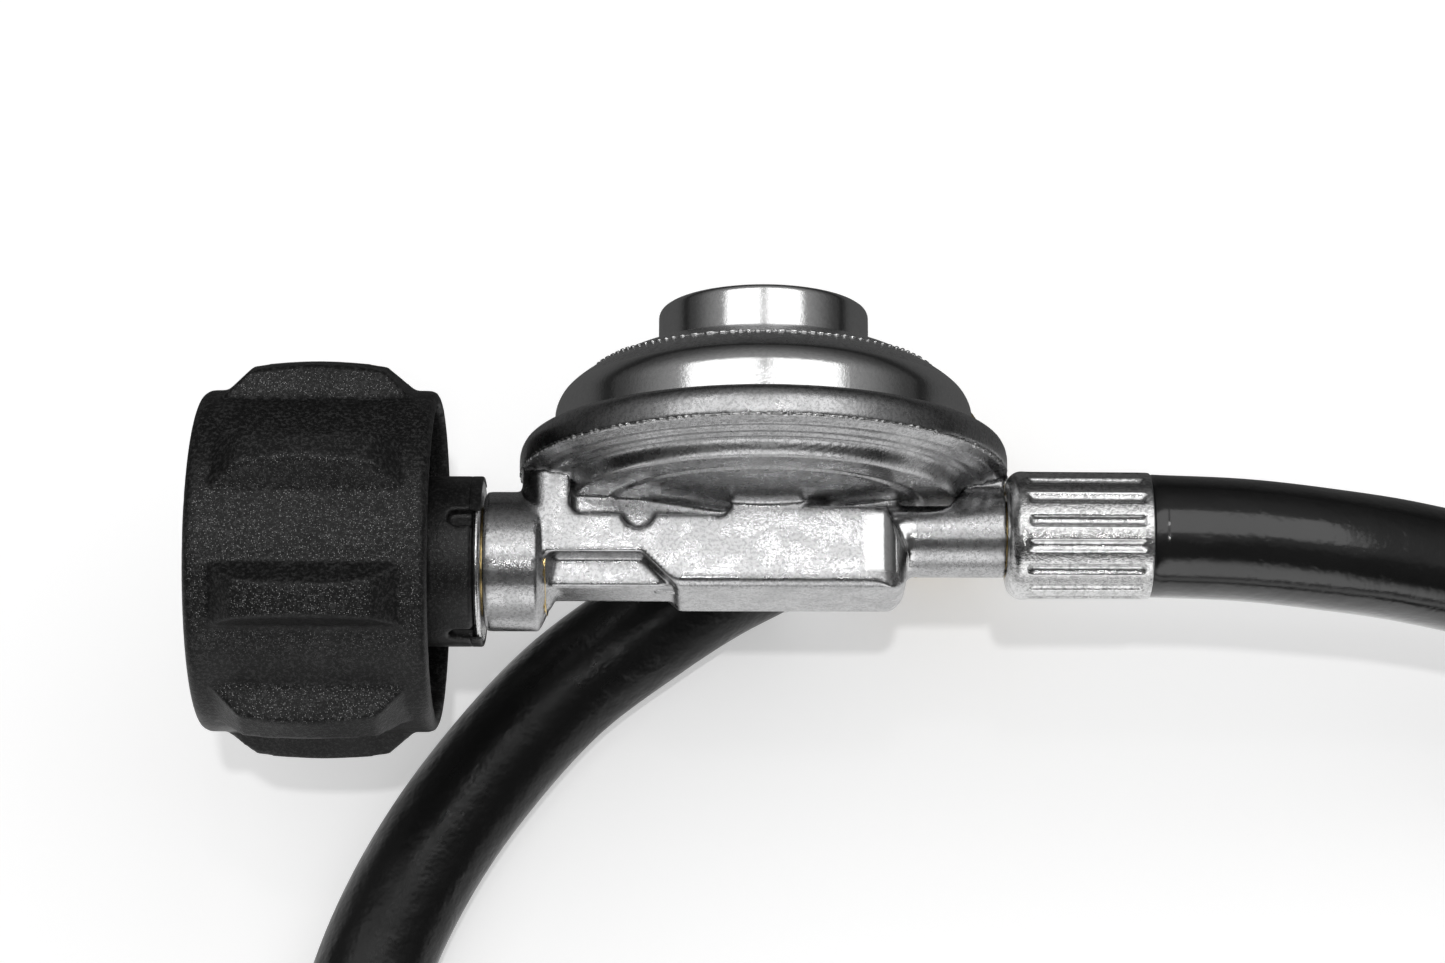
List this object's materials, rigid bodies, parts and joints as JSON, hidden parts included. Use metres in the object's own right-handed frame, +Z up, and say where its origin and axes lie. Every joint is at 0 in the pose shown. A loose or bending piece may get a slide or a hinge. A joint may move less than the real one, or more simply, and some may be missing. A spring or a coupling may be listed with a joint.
{
  "type": "propane regulator hose",
  "caption": "Low-pressure gas regulator with a lobed hand-tightened tank nut at one end and a rubber hose with a swivel flare nut at the other.",
  "frame": {"origin": "on the inlet axis, in the middle of the nipple's round land, which slides into the tank valve", "axes": "+X along the inlet axis from the tank side to the hose, +Y along the diaphragm axis to the spring chimney, +Z up from the surface that the hose lies on"},
  "size_m": [0.2288, 0.2097, 0.0831],
  "materials": {
    "zinc_casting": "satin cast zinc with a fine grain",
    "bright_bonnet": "bright, polished",
    "steel_dark": "fine wire mesh",
    "diaphragm_rubber": "matte",
    "steel": "zinc plated",
    "brass": "turned",
    "spring_steel": "bright wire",
    "plug_zinc": "satin",
    "seal_rubber": "matte",
    "nut_plastic": "finely grained moulding",
    "bushing_plastic": "finely grained moulding",
    "ferrule_steel": "bright zinc plate",
    "hose_rubber": "semi-gloss"
  },
  "bodies": {
    "regulator": {"regulator_body": "zinc_casting", "bonnet": "bright_bonnet", "vent_screen": "steel_dark", "diaphragm": "diaphragm_rubber", "main_spring": "spring_steel", "lever_pin": "steel", "orifice": "brass", "inlet_nipple": "brass", "nose_seal": "seal_rubber", "nipple_o_ring": "seal_rubber", "limiter_spring": "spring_steel", "limiter_retainer": "steel", "thermal_bushing": "bushing_plastic", "retaining_ring": "bushing_plastic", "hose_barb": "brass", "outlet_ferrule": "ferrule_steel", "hose": "hose_rubber", "far_ferrule": "ferrule_steel", "flare_nipple": "brass"},
    "stack": {"diaphragm_plate": "steel", "diaphragm_post": "brass", "backing_washer": "steel"},
    "lever": {"lever": "steel"},
    "seat": {"seat_holder": "brass", "seat_disc": "seal_rubber"},
    "plug": {"adjusting_plug": "plug_zinc"},
    "spring_cap": {"spring_seat": "steel"},
    "limiter": {"limiter_poppet": "brass"},
    "nut": {"coupling_nut": "nut_plastic"},
    "flare": {"flare_nut": "brass"}
  },
  "joints": [
    {"name": "nut_spin", "type": "hinge", "parent": "regulator", "child": "nut", "pos_m": [0.0035, 0, 0], "axis": [1, 0, 0], "continuous": true},
    {"name": "stack_lift", "type": "slide", "parent": "regulator", "child": "stack", "axis": [0, 1, 0], "range_m": [0, 0.0015], "stiffness_N_per_m": 400, "springref_m": -0.01, "deforming": ["diaphragm", "main_spring"]},
    {"name": "lever_tilt", "type": "hinge", "parent": "regulator", "child": "lever", "pos_m": [0.0513, -0.0022, 0], "axis": [0, 0, 1], "range_deg": [0, 9.3]},
    {"name": "seat_slide", "type": "slide", "parent": "regulator", "child": "seat", "axis": [1, 0, 0], "range_m": [-0.00036, 0]},
    {"name": "limiter_slide", "type": "slide", "parent": "regulator", "child": "limiter", "axis": [1, 0, 0], "range_m": [0, 0.002], "stiffness_N_per_m": 150, "springref_m": -0.002, "deforming": ["limiter_spring"]},
    {"name": "plug_turn", "type": "hinge", "parent": "regulator", "child": "plug", "pos_m": [0.0606, 0.03, 0], "axis": [0, -1, 0], "range_deg": [0, 720]},
    {"name": "spring_cap_slide", "type": "slide", "parent": "regulator", "child": "spring_cap", "axis": [0, -1, 0], "range_m": [0, 0.0021]},
    {"name": "flare_spin", "type": "hinge", "parent": "regulator", "child": "flare", "pos_m": [0.08557, 0.01993, -0.0405], "axis": [0.9272, 0.3746, 0], "continuous": true}
  ],
  "couplings": [
    {"joint": "lever_tilt", "follows": "stack_lift", "rad_per_m": 107.53},
    {"joint": "seat_slide", "follows": "stack_lift", "ratio": -0.23656},
    {"joint": "spring_cap_slide", "follows": "plug_turn", "m_per_rad": 0.00015915}
  ]
}
